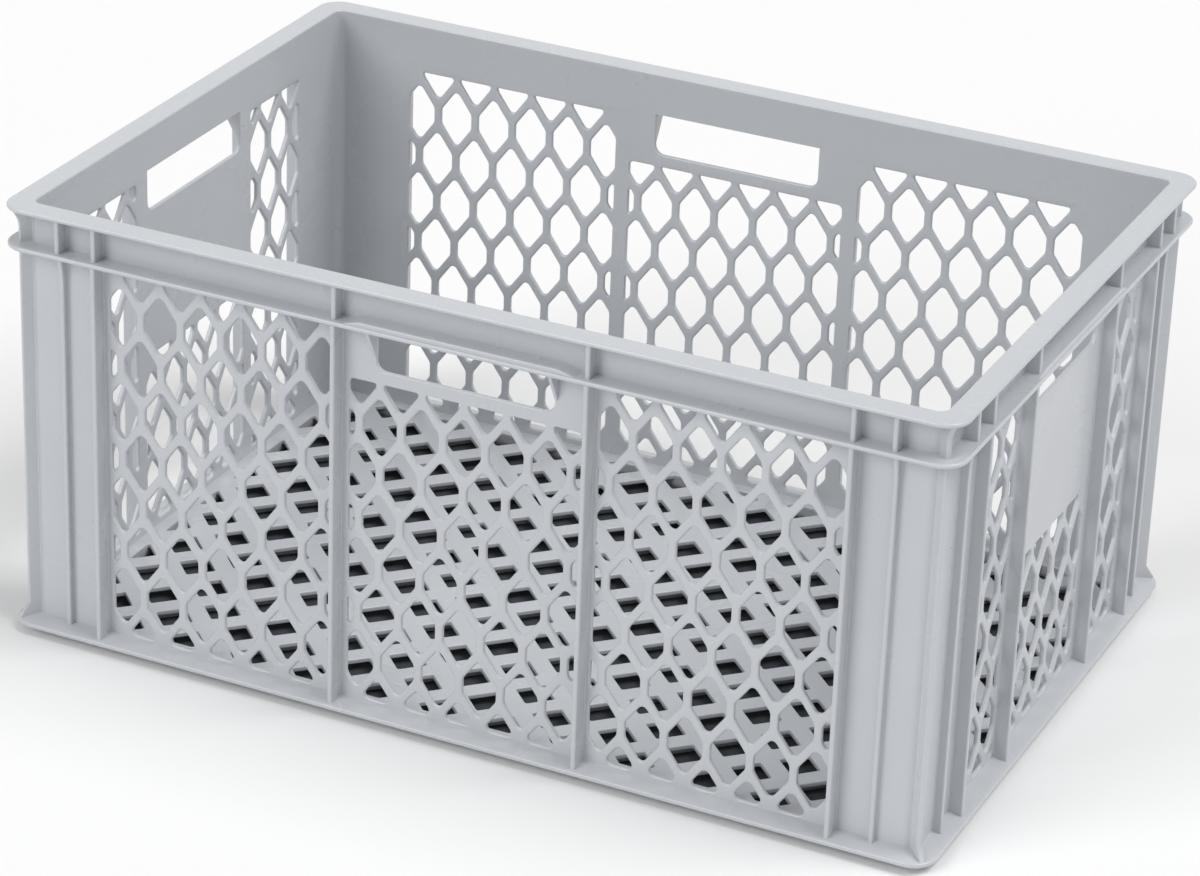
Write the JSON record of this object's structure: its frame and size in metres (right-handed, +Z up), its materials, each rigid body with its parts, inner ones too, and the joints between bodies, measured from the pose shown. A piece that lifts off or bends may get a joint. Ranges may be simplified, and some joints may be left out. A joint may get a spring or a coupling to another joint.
{
  "type": "perforated stacking crate",
  "caption": "Open-topped rectangular stacking crate with mesh walls and floor, a ribbed outside, a flanged lip and a hand hole in each wall.",
  "frame": {"origin": "on the ground under the middle of the crate", "axes": "+X along the long walls, +Y along the short walls from the front wall to the back wall, +Z up out of the open top"},
  "size_m": [0.6, 0.4, 0.28],
  "materials": {
    "moulded_plastic": "light cool grey polyolefin with a fine satin mould texture"
  },
  "bodies": {
    "root": {"top_lip": "moulded_plastic", "rim_band": "moulded_plastic", "stacking_flange": "moulded_plastic", "base_skirt": "moulded_plastic", "floor_mesh": "moulded_plastic", "stacking_foot": "moulded_plastic", "corner_post_front_right": "moulded_plastic", "corner_post_front_left": "moulded_plastic", "corner_post_back_left": "moulded_plastic", "corner_post_back_right": "moulded_plastic", "front_centre_mesh": "moulded_plastic", "front_handle_frame": "moulded_plastic", "front_mesh_right": "moulded_plastic", "front_divider_right": "moulded_plastic", "front_mesh_left": "moulded_plastic", "front_divider_left": "moulded_plastic", "back_centre_mesh": "moulded_plastic", "back_handle_frame": "moulded_plastic", "back_mesh_right": "moulded_plastic", "back_divider_right": "moulded_plastic", "back_mesh_left": "moulded_plastic", "back_divider_left": "moulded_plastic", "end_right_centre_mesh": "moulded_plastic", "end_right_label_panel": "moulded_plastic", "end_right_handle_frame": "moulded_plastic", "end_right_mesh_right": "moulded_plastic", "end_right_divider_right": "moulded_plastic", "end_right_mesh_left": "moulded_plastic", "end_right_divider_left": "moulded_plastic", "end_left_centre_mesh": "moulded_plastic", "end_left_label_panel": "moulded_plastic", "end_left_handle_frame": "moulded_plastic", "end_left_mesh_right": "moulded_plastic", "end_left_divider_right": "moulded_plastic", "end_left_mesh_left": "moulded_plastic", "end_left_divider_left": "moulded_plastic"}
  },
  "joints": []
}
